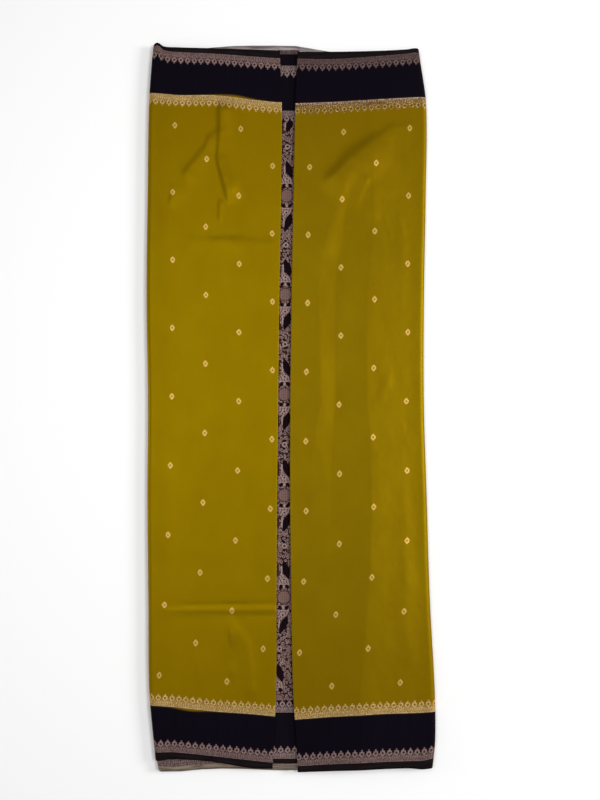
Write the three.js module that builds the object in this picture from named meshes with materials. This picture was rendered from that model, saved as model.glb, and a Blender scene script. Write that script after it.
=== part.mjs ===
// A saree folded flat: one uncut length of silk crepe, 5.4 m long and 1.15 m from selvedge to selvedge.
// The length is laid to and fro in six layers about 0.9 m wide, and the two sides of that stack are
// turned over to meet near the middle, so that a strip of the pallu, the decorated end, shows between
// them. X runs across the bundle, Y along it from selvedge to selvedge, and Z up. The origin is under
// the middle of the bundle, on the surface that it lies on. Lengths are in millimetres.
import * as THREE from 'three';

// Driving dimensions.
const wall = 1.0; // thickness of the outer layer and of the pallu
const clearance = 0.3; // air left between one piece and the next
const seamGap = 0.7; // air left where the underside meets the edge of each flap
const foldAir = 1.3; // air left between the outer folds and the layers inside them
const layerHeight = 0.9; // one hidden layer
const hiddenLayers = 4; // in the base, and again in each turned-over side
const restingLift = 0.7; // mean lift of the turned-over outer layer off the layers under it
const deepestTrough = 0.6; // a crease never sinks further than this into that lift
const foldTop = 12.8; // height of the bundle at its two outer folds
const foldBlend = 34; // width over which the flap rises to its fold
const palluTuck = 14; // how far the pallu runs on under each flap
const noseRecess = 2.8; // hidden layers end this far behind the flap's inner edge
const hemReturn = 4; // how far the outer layer runs on under the bundle past its fold
const grooveDepth = 0.7; // groove between one hidden layer and the next
const cornerCut = 7; // hidden layers have their corners rounded off by this much
const noseWidth = 5; // of the rounded inner edge of each flap
const footShort = { bottom: 8, top: 8 }; // the foot of each turned-over side ends this much sooner
const footBack = 2.0; // and starts this far inside the edge of the base
const slotRoof = 0.05; // the roof of the pallu's slot slopes by this much
const undersideBlend = 150; // half the width over which the underside's ends pass from flap to flap
const boxMiddle = 0.7; // how far to the right the middle of the bundle's box lies
const halfLength = 583; // about half the bundle's length; the selvedges' own tables set it exactly
const cornersLow = -575; // where the hidden layers' corners are taken from the side lines
const cornersHigh = 570;
const endCrowding = 0.6; // how much closer together the rows lie towards the two ends, from 0 to 1

// Heights worked out from them.
const baseFloor = wall + clearance;
const baseTop = baseFloor + hiddenLayers * layerHeight;
const palluFloor = baseTop + clearance;
const palluTop = palluFloor + wall;
const sideFloor = palluTop + clearance;
const sideTop = sideFloor + hiddenLayers * layerHeight;
const flapTop = sideTop + clearance + wall + restingLift;
const foldRadius = foldTop / 2;

// How finely each surface is divided.
const alongSteps = 24;
const flapSteps = 14;
const foldSteps = 7;
const undersideSteps = 6;
const palluSteps = 5;
const endSteps = 11;
const sideSteps = 12;

// Where the left fold, the two edges of the gap and the right fold lie, at stations along y.
const sideRows = [
  { y: -584, left: -204.5, gapLeft: -24.9, gapRight: 15.1, right: 220.4 },
  { y: -534, left: -211.9, gapLeft: -22.4, gapRight: 12.9, right: 230.0 },
  { y: -457, left: -219.7, gapLeft: -19.2, gapRight: 7.7, right: 229.6 },
  { y: -317, left: -222.2, gapLeft: -18.8, gapRight: 5.1, right: 222.5 },
  { y: -159, left: -225.0, gapLeft: -18.1, gapRight: 3.2, right: 219.0 },
  { y: 0, left: -225.4, gapLeft: -16.6, gapRight: 3.4, right: 215.4 },
  { y: 161, left: -229.1, gapLeft: -15.1, gapRight: 5.2, right: 216.6 },
  { y: 324, left: -228.8, gapLeft: -12.3, gapRight: 7.9, right: 221.0 },
  { y: 480, left: -226.9, gapLeft: -11.2, gapRight: 11.1, right: 219.1 },
  { y: 554, left: -223.2, gapLeft: -13.9, gapRight: 14.0, right: 214.0 },
  { y: 584, left: -220.2, gapLeft: -14.5, gapRight: 15.7, right: 208.0 },
];

// Where each flap's two selvedges lie, at stations across x.
const leftEnds = [
  { x: -229, bottom: -568.0, top: 577.0 },
  { x: -216, bottom: -567.5, top: 583.5 },
  { x: -204, bottom: -567.0, top: 576.5 },
  { x: -170, bottom: -563.5, top: 574.0 },
  { x: -115, bottom: -568.0, top: 573.0 },
  { x: -60, bottom: -578.0, top: 572.0 },
  { x: -14, bottom: -579.5, top: 571.0 },
];
const rightEnds = [
  { x: 8, bottom: -583.5, top: 567.5 },
  { x: 70, bottom: -580.5, top: 567.0 },
  { x: 142, bottom: -578.0, top: 568.0 },
  { x: 182, bottom: -577.0, top: 570.0 },
  { x: 206, bottom: -578.5, top: 572.0 },
  { x: 230, bottom: -571.0, top: 564.0 },
];

// How far the hidden layers reach at each end: in places they stick out past the flaps.
const hiddenEnds = [
  { x: -229, bottom: -576.0, top: 573.0 },
  { x: -193, bottom: -581.0, top: 572.0 },
  { x: -138, bottom: -578.0, top: 573.5 },
  { x: -87, bottom: -578.5, top: 579.3 },
  { x: -14, bottom: -581.7, top: 578.0 },
  { x: 14, bottom: -581.7, top: 575.5 },
  { x: 70, bottom: -577.0, top: 569.0 },
  { x: 142, bottom: -575.0, top: 565.0 },
  { x: 230, bottom: -572.0, top: 562.0 },
];
const palluEnds = [
  { x: -30, bottom: -572.5, top: 567.5 },
  { x: 30, bottom: -573.0, top: 568.0 },
];

// How far each hidden layer falls short of that reach, from the lowest up.
const baseShort = [
  { bottom: 5.0, top: 6.0 },
  { bottom: 2.0, top: 0.0 },
  { bottom: 0.0, top: 3.0 },
  { bottom: 3.0, top: 1.5 },
];
const sideShort = [
  { bottom: 5.0, top: 4.5 },
  { bottom: 2.5, top: 7.0 },
  { bottom: 6.0, top: 3.5 },
  { bottom: 3.5, top: 6.0 },
];

// The largest creases and press folds, each from one point to another, with its rise (a trough's is
// negative) and its spread to either side.
const leftCreases = [
  { fromX: -98, fromY: 468, toX: -88, toY: 330, rise: 0.9, spread: 13 },
  { fromX: -43, fromY: 373, toX: -94, toY: 315, rise: 0.7, spread: 12 },
  { fromX: -114, fromY: 468, toX: -190, toY: 332, rise: -0.5, spread: 14 },
  { fromX: -151, fromY: 263, toX: -14, toY: 263, rise: 0.6, spread: 12 },
  { fromX: -219, fromY: -333, toX: -18, toY: -323, rise: 0.8, spread: 13 },
  { fromX: -61, fromY: -379, toX: -60, toY: -457, rise: 0.7, spread: 12 },
];
const rightCreases = [
  { fromX: 129, fromY: 468, toX: 135, toY: 161, rise: 1.0, spread: 14 },
  { fromX: 135, fromY: 161, toX: 130, toY: -159, rise: 0.9, spread: 14 },
  { fromX: 130, fromY: -159, toX: 116, toY: -472, rise: 0.8, spread: 15 },
  { fromX: 198, fromY: 443, toX: 124, toY: 417, rise: -0.6, spread: 14 },
  { fromX: 124, fromY: 417, toX: 35, toY: 348, rise: -0.6, spread: 13 },
  { fromX: 96, fromY: 381, toX: 54, toY: 161, rise: 0.7, spread: 16 },
];

// A smooth curve through one column of a table: the value of `column` where `station` is `at`.
function through(rows, station, column, at) {
  const last = rows.length - 1;
  const clamped = Math.min(Math.max(at, rows[0][station]), rows[last][station]);
  let i = 0;
  while (i < last - 1 && clamped > rows[i + 1][station]) i += 1;
  const before = rows[Math.max(i - 1, 0)];
  const a = rows[i];
  const b = rows[i + 1];
  const after = rows[Math.min(i + 2, last)];
  const span = b[station] - a[station];
  const slopeA = (b[column] - before[column]) / (b[station] - before[station]);
  const slopeB = (after[column] - a[column]) / (after[station] - a[station]);
  const f = (clamped - a[station]) / span;
  const bend = (3 - 2 * f) * f * f;
  const ease = span * f * (1 - f);
  return a[column] * (1 - bend) + b[column] * bend + ease * (slopeA * (1 - f) - slopeB * f);
}

const lerp = THREE.MathUtils.lerp;
const smoothstep = THREE.MathUtils.smoothstep;
const evenly = (steps) => Array.from({ length: steps + 1 }, (_, i) => i / steps);
// Shares of the length of the bundle, closer together towards its two ends, where the sides curve in.
const endwise = (steps) =>
  evenly(steps).map((f) => lerp(f, (1 - Math.cos(Math.PI * f)) / 2, endCrowding));
const foldAt = (side, y) => through(sideRows, 'y', side < 0 ? 'left' : 'right', y);
const gapAt = (side, y) => through(sideRows, 'y', side < 0 ? 'gapLeft' : 'gapRight', y);

// The lift of the creases at a point of a flap: a soft ridge or trough along each line.
function creaseLift(creases, x, y) {
  const point = new THREE.Vector3(x, y, 0);
  const nearest = new THREE.Vector3();
  let lift = 0;
  for (const crease of creases) {
    const line = new THREE.Line3(
      new THREE.Vector3(crease.fromX, crease.fromY, 0),
      new THREE.Vector3(crease.toX, crease.toY, 0),
    );
    line.closestPointToPoint(point, true, nearest);
    lift += crease.rise * Math.exp(-((point.distanceTo(nearest) / crease.spread) ** 2));
  }
  return Math.max(lift, -deepestTrough);
}

// A closed surface put together from rings of points and the faces between them.
class Shell {
  constructor() {
    this.positions = [];
    this.faces = [];
  }

  ring(points) {
    const first = this.positions.length / 3;
    for (const p of points) this.positions.push(p.x, p.y, p.z);
    return points.map((_, i) => first + i);
  }

  // Quads between two rows of points; a closed row also joins its last point to its first.
  bridge(low, high, closed) {
    const count = closed ? low.length : low.length - 1;
    for (let i = 0; i < count; i += 1) {
      const j = (i + 1) % low.length;
      this.faces.push(low[i], low[j], high[j], low[i], high[j], high[i]);
    }
  }

  // A level face inside a ring and outside its holes, looking up or down.
  cap(ring, holes, facesUp) {
    const flat = (indices) =>
      indices.map((i) => new THREE.Vector2(this.positions[3 * i], this.positions[3 * i + 1]));
    const order = ring.concat(...holes);
    for (const face of THREE.ShapeUtils.triangulateShape(flat(ring), holes.map(flat))) {
      const up = THREE.ShapeUtils.area(flat(face.map((k) => order[k]))) > 0;
      const [a, b, c] = face.map((k) => order[k]);
      if (up === facesUp) this.faces.push(a, b, c);
      else this.faces.push(a, c, b);
    }
  }

  mesh(name, material) {
    const geometry = new THREE.BufferGeometry();
    geometry.setAttribute('position', new THREE.Float32BufferAttribute(this.positions, 3));
    geometry.setIndex(this.faces);
    geometry.computeVertexNormals();
    const made = new THREE.Mesh(geometry, material);
    made.name = name;
    return made;
  }
}

// A piece of cloth as a wall: rows of outer points, rows of inner points, and the four rims.
// `turned` says that the rows run the other way round, so that every face is flipped.
function clothWall(name, material, outerRows, innerRows, turned) {
  const shell = new Shell();
  const outer = outerRows.map((row) => shell.ring(row));
  const inner = innerRows.map((row) => shell.ring(row));
  const last = outer.length - 1;
  const end = outer[0].length - 1;
  for (let i = 0; i < last; i += 1) {
    shell.bridge(outer[i], outer[i + 1], false);
    shell.bridge(inner[i + 1], inner[i], false);
  }
  const column = (rows, k) => rows.map((row) => row[k]);
  shell.bridge(inner[0], outer[0], false);
  shell.bridge(outer[last], inner[last], false);
  shell.bridge(column(outer, 0), column(inner, 0), false);
  shell.bridge(column(inner, end), column(outer, end), false);
  if (turned) {
    for (let i = 0; i < shell.faces.length; i += 3) {
      [shell.faces[i + 1], shell.faces[i + 2]] = [shell.faces[i + 2], shell.faces[i + 1]];
    }
  }
  return shell.mesh(name, material);
}

// One flap of the outer layer: from its rounded inner edge over the top, round the outer fold and a
// little way under the bundle. `side` is -1 for the left flap and +1 for the right one.
function flap(name, side, ends, creases, material) {
  const noseRow = [
    { in: 0.0, down: 2.4, innerIn: 1.0, innerDown: 2.4 },
    { in: 0.2, down: 1.2, innerIn: 1.2, innerDown: 1.8 },
    { in: 0.9, down: 0.35, innerIn: 1.7, innerDown: 1.2 },
    { in: 2.4, down: 0.0, innerIn: 2.8, innerDown: 1.0 },
  ];
  const rows = endwise(alongSteps).map((t) => {
    const outer = [];
    const inner = [];
    const roughY = lerp(-halfLength, halfLength, t);
    const width = Math.abs(foldAt(side, roughY) - gapAt(side, roughY));
    // A point at `across` from the flap's inner edge, where the edge and the fold lie at its own y.
    const place = (list, across, z) => {
      const roughX = gapAt(side, roughY) + side * across;
      const y = lerp(through(ends, 'x', 'bottom', roughX), through(ends, 'x', 'top', roughX), t);
      const span = Math.abs(foldAt(side, y) - gapAt(side, y));
      list.push({ x: gapAt(side, y) + side * across * (span / width), y, z });
    };
    const top = (across) => {
      const x = gapAt(side, roughY) + side * across;
      const risen = smoothstep(width - foldRadius - across, 0, foldBlend);
      return lerp(foldTop, flapTop + creaseLift(creases, x, roughY), risen);
    };
    for (const p of noseRow) {
      place(outer, p.in, top(p.in) - p.down);
      place(inner, p.innerIn, top(p.in) - p.innerDown);
    }
    for (const f of evenly(flapSteps).slice(0, -1)) {
      const across = lerp(noseWidth, width - foldRadius, f);
      place(outer, across, top(across));
      place(inner, across, top(across) - wall);
    }
    for (const f of evenly(foldSteps)) {
      const angle = Math.PI * f;
      const centre = width - foldRadius;
      for (const [list, radius] of [[outer, foldRadius], [inner, foldRadius - wall]]) {
        place(list, centre + radius * Math.sin(angle), foldRadius + radius * Math.cos(angle));
      }
    }
    place(outer, width - foldRadius - hemReturn, 0);
    place(inner, width - foldRadius - hemReturn, wall);
    return { outer, inner };
  });
  return clothWall(name, material, rows.map((r) => r.outer), rows.map((r) => r.inner), side < 0);
}

// A flat stretch of the cloth between two lines along y, from one selvedge to the other.
function flatStretch(name, steps, floor, leftLine, rightLine, ends, material) {
  const rowsAt = (z) => endwise(alongSteps).map((t) => evenly(steps).map((f) => {
    const roughY = lerp(-halfLength, halfLength, t);
    const roughX = lerp(leftLine(roughY), rightLine(roughY), f);
    const y = lerp(ends(roughX, 'bottom'), ends(roughX, 'top'), t);
    return { x: lerp(leftLine(y), rightLine(y), f), y, z };
  }));
  return clothWall(name, material, rowsAt(floor + wall), rowsAt(floor), false);
}

// How far in from the bundle's outer fold the hidden layers lie at height z: they fill its curve.
function insetAt(z) {
  const radius = foldRadius - wall - foldAir;
  return foldRadius - Math.sqrt(Math.max(radius ** 2 - (z - foldRadius) ** 2, 0));
}

// The outline of a hidden layer at height z, anticlockwise from its left corner at the bottom end.
function layerOutline(z, leftLine, rightLine, short) {
  const bottomAt = (x) => through(hiddenEnds, 'x', 'bottom', x) + short.bottom;
  const topAt = (x) => through(hiddenEnds, 'x', 'top', x) - short.top;
  const low = { left: leftLine(cornersLow) + cornerCut, right: rightLine(cornersLow) - cornerCut };
  const high = { left: leftLine(cornersHigh) + cornerCut, right: rightLine(cornersHigh) - cornerCut };
  const rounding = cornerCut * (1 - Math.SQRT1_2);
  const points = [];
  const corner = (x, y) => points.push({ x, y, z });
  for (const f of evenly(endSteps)) {
    const x = lerp(low.left, low.right, f);
    points.push({ x, y: bottomAt(x), z });
  }
  corner(low.right + cornerCut - rounding, bottomAt(low.right) + rounding);
  for (const f of endwise(sideSteps)) {
    const y = lerp(bottomAt(low.right) + cornerCut, topAt(high.right) - cornerCut, f);
    points.push({ x: rightLine(y), y, z });
  }
  corner(high.right + cornerCut - rounding, topAt(high.right) - rounding);
  for (const f of evenly(endSteps)) {
    const x = lerp(high.right, high.left, f);
    points.push({ x, y: topAt(x), z });
  }
  corner(high.left - cornerCut + rounding, topAt(high.left) - rounding);
  for (const f of endwise(sideSteps)) {
    const y = lerp(topAt(high.left) - cornerCut, bottomAt(low.left) + cornerCut, f);
    points.push({ x: leftLine(y), y, z });
  }
  corner(low.left - cornerCut + rounding, bottomAt(low.left) + rounding);
  return points;
}

// The levels of a stack of layers from its floor up: a groove under each layer, its full edge halfway
// up, and a last groove on top.
function stackLevels(floor, shorts) {
  const levels = [];
  shorts.forEach((short, i) => {
    const under = shorts[Math.max(i - 1, 0)];
    const groove = {
      bottom: Math.max(short.bottom, under.bottom) + grooveDepth,
      top: Math.max(short.top, under.top) + grooveDepth,
    };
    levels.push({ z: floor + i * layerHeight, short: groove, back: grooveDepth });
    levels.push({ z: floor + (i + 0.5) * layerHeight, short, back: 0 });
  });
  const last = shorts[shorts.length - 1];
  const shut = { bottom: last.bottom + grooveDepth, top: last.top + grooveDepth };
  levels.push({ z: floor + shorts.length * layerHeight, short: shut, back: grooveDepth });
  return levels;
}

// All the hidden layers as one solid: a base under the whole bundle, and on it the turned-over part of
// each side, which leaves the gap open and a slot at its foot for the pallu.
function hiddenStack(name, material) {
  const shell = new Shell();
  let below = null;
  for (const { z, short } of stackLevels(baseFloor, baseShort)) {
    const outline = layerOutline(
      z,
      (y) => foldAt(-1, y) + insetAt(z),
      (y) => foldAt(1, y) - insetAt(z),
      short,
    );
    const ring = shell.ring(outline);
    if (below) shell.bridge(below, ring, true);
    else shell.cap(ring, [], false);
    below = ring;
  }
  const feet = [];
  for (const side of [-1, 1]) {
    const slot = palluTuck + 2 * clearance;
    const levels = [
      { z: baseTop, short: footShort, back: slot },
      { z: sideFloor - slotRoof, short: footShort, back: slot },
      ...stackLevels(sideFloor, sideShort),
    ];
    let under = null;
    for (const { z, short, back } of levels) {
      const foldLine = (y) => foldAt(side, y) - side * (insetAt(z) + footBack);
      const gapLine = (y) => gapAt(side, y) + side * (noseRecess + back);
      const lines = side < 0 ? [foldLine, gapLine] : [gapLine, foldLine];
      const ring = shell.ring(layerOutline(z, ...lines, short));
      if (under) shell.bridge(under, ring, true);
      else feet.push(ring);
      under = ring;
    }
    shell.cap(under, [], true);
  }
  shell.cap(below, feet, true);
  return shell.mesh(name, material);
}

const clothMaterial = (color, roughness) =>
  new THREE.MeshStandardMaterial({ color, roughness, metalness: 0, side: THREE.DoubleSide });
const oliveSilk = clothMaterial(0x8f7402, 0.6);
const darkBrocade = clothMaterial(0x3a2a2a, 0.55);
const foldedEdges = clothMaterial(0x3a3a40, 0.7);

const group = new THREE.Group();
group.name = 'folded_saree';
group.position.x = -boxMiddle;
group.add(flap('left_flap', -1, leftEnds, leftCreases, oliveSilk));
group.add(flap('right_flap', 1, rightEnds, rightCreases, oliveSilk));
const underStart = foldRadius + hemReturn + seamGap;
group.add(flatStretch(
  'underside',
  undersideSteps,
  0,
  (y) => foldAt(-1, y) + underStart,
  (y) => foldAt(1, y) - underStart,
  (x, end) => lerp(
    through(leftEnds, 'x', end, x),
    through(rightEnds, 'x', end, x),
    smoothstep(x, -undersideBlend, undersideBlend),
  ),
  oliveSilk,
));
group.add(flatStretch(
  'pallu',
  palluSteps,
  palluFloor,
  (y) => gapAt(-1, y) - palluTuck,
  (y) => gapAt(1, y) + palluTuck,
  (x, end) => through(palluEnds, 'x', end, x),
  darkBrocade,
));
group.add(hiddenStack('hidden_layers', foldedEdges));

export default group;
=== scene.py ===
import math
import bpy
import numpy as np
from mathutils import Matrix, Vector


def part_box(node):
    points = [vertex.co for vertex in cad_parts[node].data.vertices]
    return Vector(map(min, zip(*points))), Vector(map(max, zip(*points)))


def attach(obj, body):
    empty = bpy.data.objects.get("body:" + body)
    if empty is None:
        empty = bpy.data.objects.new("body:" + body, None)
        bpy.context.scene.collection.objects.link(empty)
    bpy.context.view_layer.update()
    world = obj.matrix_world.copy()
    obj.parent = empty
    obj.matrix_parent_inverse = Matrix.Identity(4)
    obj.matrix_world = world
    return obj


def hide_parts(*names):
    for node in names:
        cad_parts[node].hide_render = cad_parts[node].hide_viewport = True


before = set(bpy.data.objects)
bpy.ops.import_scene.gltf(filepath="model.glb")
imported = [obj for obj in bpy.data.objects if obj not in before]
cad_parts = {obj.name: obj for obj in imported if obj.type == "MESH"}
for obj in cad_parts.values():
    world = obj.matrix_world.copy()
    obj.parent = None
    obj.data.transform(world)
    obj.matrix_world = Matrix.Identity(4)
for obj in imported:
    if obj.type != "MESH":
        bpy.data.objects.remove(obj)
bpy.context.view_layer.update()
mm = 0.001

# The folded bundle, in millimetres. x runs across it, y from selvedge to selvedge, z up.
bundle = {
    "clothWidth": 1150,      # selvedge to selvedge
    "thickness": 0.42,       # of one layer of silk
    "flapTop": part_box("left_flap")[1].z / mm - 1.0,    # mean height of the two flaps
    "foldTop": 12.8,         # height of the two outer folds
    "foldBlend": 34,         # width over which a flap rises to its fold
    "sideFloor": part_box("pallu")[1].z / mm + 0.3,      # where the turned-over layers start
    "baseFloor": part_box("underside")[1].z / mm + 0.3,  # where the layers of the base start
    "layerHeight": 0.9,      # one hidden layer with its air
}

# Where the folds and the two edges of the gap lie, at stations along y.
sideLines = {
    "y":         [-584, -534, -457, -317, -159, 0, 161, 324, 480, 554, 584],
    "foldLeft":  [-207.4, -213.2, -220.4, -222.9, -225.7, -226.1, -229.8, -229.5, -228.6, -224.6, -221.4],
    "gapLeft":   [-25.6, -23.1, -19.9, -19.5, -18.8, -17.3, -15.8, -13.0, -11.9, -14.6, -15.2],
    "gapRight":  [14.4, 12.2, 7.0, 4.4, 2.5, 2.7, 4.5, 7.2, 10.4, 13.3, 15.0],
    "foldRight": [226.0, 231.2, 230.8, 224.2, 220.3, 216.7, 218.0, 221.8, 224.0, 215.0, 210.8],
}

# Where lines of the weave lie on each flap, at stations across x: the lower selvedge, the outer edge of
# the lower zari, the start of the lower gold zari, and the same three at the top.
leftWeave = {
    "x":         [-229, -216, -204, -178, -120, -60, -20],
    "lowEdge":   [-568.0, -567.5, -567.0, -564.0, -568.0, -578.0, -579.5],
    "lowZari":   [-554.0, -554.0, -554.0, -553.3, -559.0, -566.0, -570.5],
    "lowGold":   [-481.5, -481.5, -482.0, -483.5, -490.0, -494.5, -498.5],
    "topGold":   [500.5, 499.5, 498.5, 496.3, 496.3, 489.0, 484.8],
    "topZari":   [574.0, 579.0, 571.0, 567.8, 565.2, 560.8, 558.0],
    "topEdge":   [577.0, 583.8, 577.5, 575.8, 574.4, 572.5, 571.0],
}
rightWeave = {
    "x":         [10, 70, 142, 190, 210, 229],
    "lowEdge":   [-585.0, -582.3, -579.3, -578.3, -580.0, -578.0],
    "lowZari":   [-575.6, -571.5, -568.0, -567.0, -566.5, -562.0],
    "lowGold":   [-503.3, -498.3, -494.0, -493.0, -492.3, -491.0],
    "topGold":   [483.0, 485.0, 489.0, 492.0, 493.0, 493.0],
    "topZari":   [557.5, 556.5, 561.0, 565.2, 566.8, 557.0],
    "topEdge":   [569.0, 568.8, 570.0, 572.5, 574.5, 568.0],
}
weaveLines = ["lowEdge", "lowZari", "lowGold", "topGold", "topZari", "topEdge"]
weavePlaces = [0, 8, 79, 1071, 1142, 1150]    # those lines in the cloth, from its lower selvedge

# How far the lengthwise threads stray to +x, at stations along y, on each flap and on the pallu.
threadDrift = {
    "y":     [-570, -440, -366, -330, -220, -110, 0, 100, 220, 330, 450, 570],
    "left":  [-22.0, -17.0, -11.8, -9.5, -4.5, -1.5, 0.0, 0.0, 0.0, -1.0, 2.0, 4.0],
    "right": [-21.0, -15.5, -11.0, -9.0, -3.5, -3.0, -3.5, -0.5, 0.0, 2.0, 5.0, 7.0],
    "pallu": [-22.0, -17.3, -12.5, -8.5, -7.0, -6.9, -6.9, -6.4, -5.4, -3.6, -2.0, -1.0],
}


def smoothCurve(table, station, column):
    # a smooth curve through the points of one column: cubic pieces whose slope at each station is
    # that of the line from the station before to the one after
    xs = np.array(table[station], float)
    ys = np.array(table[column], float)
    slopes = np.gradient(ys, xs)
    slopes[1:-1] = (ys[2:] - ys[:-2]) / (xs[2:] - xs[:-2])

    def curve(at):
        at = np.clip(at, xs[0], xs[-1])
        i = np.clip(np.searchsorted(xs, at, side="right") - 1, 0, len(xs) - 2)
        span = xs[i + 1] - xs[i]
        f = (at - xs[i]) / span
        rise = (3 - 2 * f) * f * f
        bend = span * f * (1 - f) * (slopes[i] * (1 - f) - slopes[i + 1] * f)
        return ys[i] * (1 - rise) + ys[i + 1] * rise + bend
    return curve


def smoothStep(value, start, end):
    # 0 before start, 1 after end, and a smooth rise between them
    f = np.clip((value - start) / (end - start), 0, 1)
    return f * f * (3 - 2 * f)


foldLeft, gapLeft, gapRight, foldRight = [
    smoothCurve(sideLines, "y", name) for name in ("foldLeft", "gapLeft", "gapRight", "foldRight")]

view = {
    "distance": 1600,        # from the middle of the flaps
    "tilt": 3.155,           # degrees away from straight down, towards the lower end
    "pixelsHigh": 800,       # height of the picture
    "perPixel": 1.6,         # millimetres of the bundle to one of its pixels
    "aside": 17.9,           # how far to the right of the bundle's middle it looks
    "height": 12,            # the level it looks at
}


def addCamera():
    # looks down at the bundle; the lens is the distance over the height of the view, in sensor heights
    tilt = math.radians(view["tilt"])
    data = bpy.data.cameras.new("camera")
    data.sensor_fit = "VERTICAL"
    data.sensor_height = 36
    data.lens = data.sensor_height * view["distance"] / (view["pixelsHigh"] * view["perPixel"])
    camera = bpy.data.objects.new("camera", data)
    back = view["distance"]
    place = (view["aside"], -back * math.sin(tilt), back * math.cos(tilt) + view["height"])
    camera.location = Vector(place) * mm
    camera.rotation_euler = (tilt, 0, 0)
    bpy.context.collection.objects.link(camera)
    bpy.context.scene.camera = camera


# Each lamp is a rectangle that faces the middle of the bundle; places and sizes are in metres, and
# power in watts.
studio = {
    "sky": 0.34,
    "lamps": {
        "overhead": {"place": (-0.40, 0.10, 1.50), "size": (1.4, 0.4), "power": 5.9},
        "high": {"place": (2.00, 0.15, 3.30), "size": (1.0, 1.0), "power": 55.0},
        "low": {"place": (4.25, 0.55, 1.90), "size": (1.2, 1.2), "power": 117.0},
        "fill": {"place": (-3.00, 0.00, 0.50), "size": (1.0, 1.0), "power": 18.0},
    },
    "floor": (0.95, 0.95, 0.95, 1), "floorReach": 6,
}


def addLamp(name, lamp):
    data = bpy.data.lights.new(name, "AREA")
    data.shape = "RECTANGLE"
    data.size, data.size_y = lamp["size"]
    data.energy = lamp["power"]
    made = bpy.data.objects.new(name, data)
    made.location = lamp["place"]
    made.rotation_euler = (-Vector(lamp["place"])).to_track_quat("-Z", "Y").to_euler()
    bpy.context.collection.objects.link(made)


addCamera()
for name, lamp in studio["lamps"].items():
    addLamp(name, lamp)
world = bpy.data.worlds.new("studio")
world.use_nodes = True
world.node_tree.nodes["Background"].inputs["Color"].default_value = (1, 1, 1, 1)
world.node_tree.nodes["Background"].inputs["Strength"].default_value = studio["sky"]
bpy.context.scene.world = world
bpy.context.scene.view_settings.view_transform = "Standard"
print("camera and lamps placed")


# A sheet's run across the bundle is a row of columns. Each column has a share of each of the four side
# lines, an offset from there in x, and a height.
atFoldLeft, atGapLeft, atGapRight, atFoldRight = np.eye(4)
quarter = math.pi / 2


def straight(fromLine, toLine, fromOffset, toOffset, height, count):
    # columns evenly spaced from beside one side line to beside another, at one height
    f = np.linspace(0, 1, count)
    shares = fromLine * (1 - f[:, None]) + toLine * f[:, None]
    return shares, fromOffset * (1 - f) + toOffset * f, np.full(count, float(height))


def turned(line, centre, height, radius, fromAngle, toAngle, count):
    # columns round a bend whose middle is beside one side line, without the bend's two ends
    angle = np.linspace(fromAngle, toAngle, count + 2)[1:-1]
    return np.tile(line, (count, 1)), centre + radius * np.cos(angle), height + radius * np.sin(angle)


def joined(stretches):
    return [np.concatenate([stretch[part] for stretch in stretches]) for part in range(3)]


def placeAcross(shares, offsets, y):
    # x of each column at its own y
    lines = [line(y) for line in (foldLeft, gapLeft, gapRight, foldRight)]
    return sum(shares[None, :, k] * lines[k] for k in range(4)) + offsets[None, :]


def rowPlaces(stations, counts):
    # places along a line, evenly spaced from each station to the next
    pieces = [np.linspace(a, b, n, endpoint=False) for a, b, n in zip(stations, stations[1:], counts)]
    return np.concatenate(pieces + [[stations[-1]]])


def addSheet(name, x, y, z, along, across):
    # a grid of points as a mesh, with a map called cloth: along the cloth, then across it, in metres
    rows, columns = x.shape
    points = np.stack([x, y, z], axis=-1).reshape(-1, 3) * mm
    corner = (np.arange(rows - 1)[:, None] * columns + np.arange(columns - 1)[None, :]).ravel()
    faces = np.stack([corner, corner + 1, corner + columns + 1, corner + columns], axis=1)
    mesh = bpy.data.meshes.new(name)
    mesh.from_pydata(points.tolist(), [], faces.tolist())
    mesh.shade_smooth()
    cloth = np.stack([along, across], axis=-1).reshape(-1, 2) * mm
    layer = mesh.uv_layers.new(name="cloth")
    layer.data.foreach_set("uv", cloth[faces.ravel()].astype(np.float32).ravel())
    piece = bpy.data.objects.new(name, mesh)
    bpy.context.collection.objects.link(piece)
    wall = piece.modifiers.new("wall", "SOLIDIFY")
    wall.thickness = bundle["thickness"] * mm
    wall.offset = 0
    return piece


def lengthAlong(x, z):
    # how far along the cloth each column lies, measured on the middle row
    middle = x.shape[0] // 2
    return np.concatenate([[0], np.cumsum(np.hypot(np.diff(x[middle]), np.diff(z[middle])))])


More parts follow.
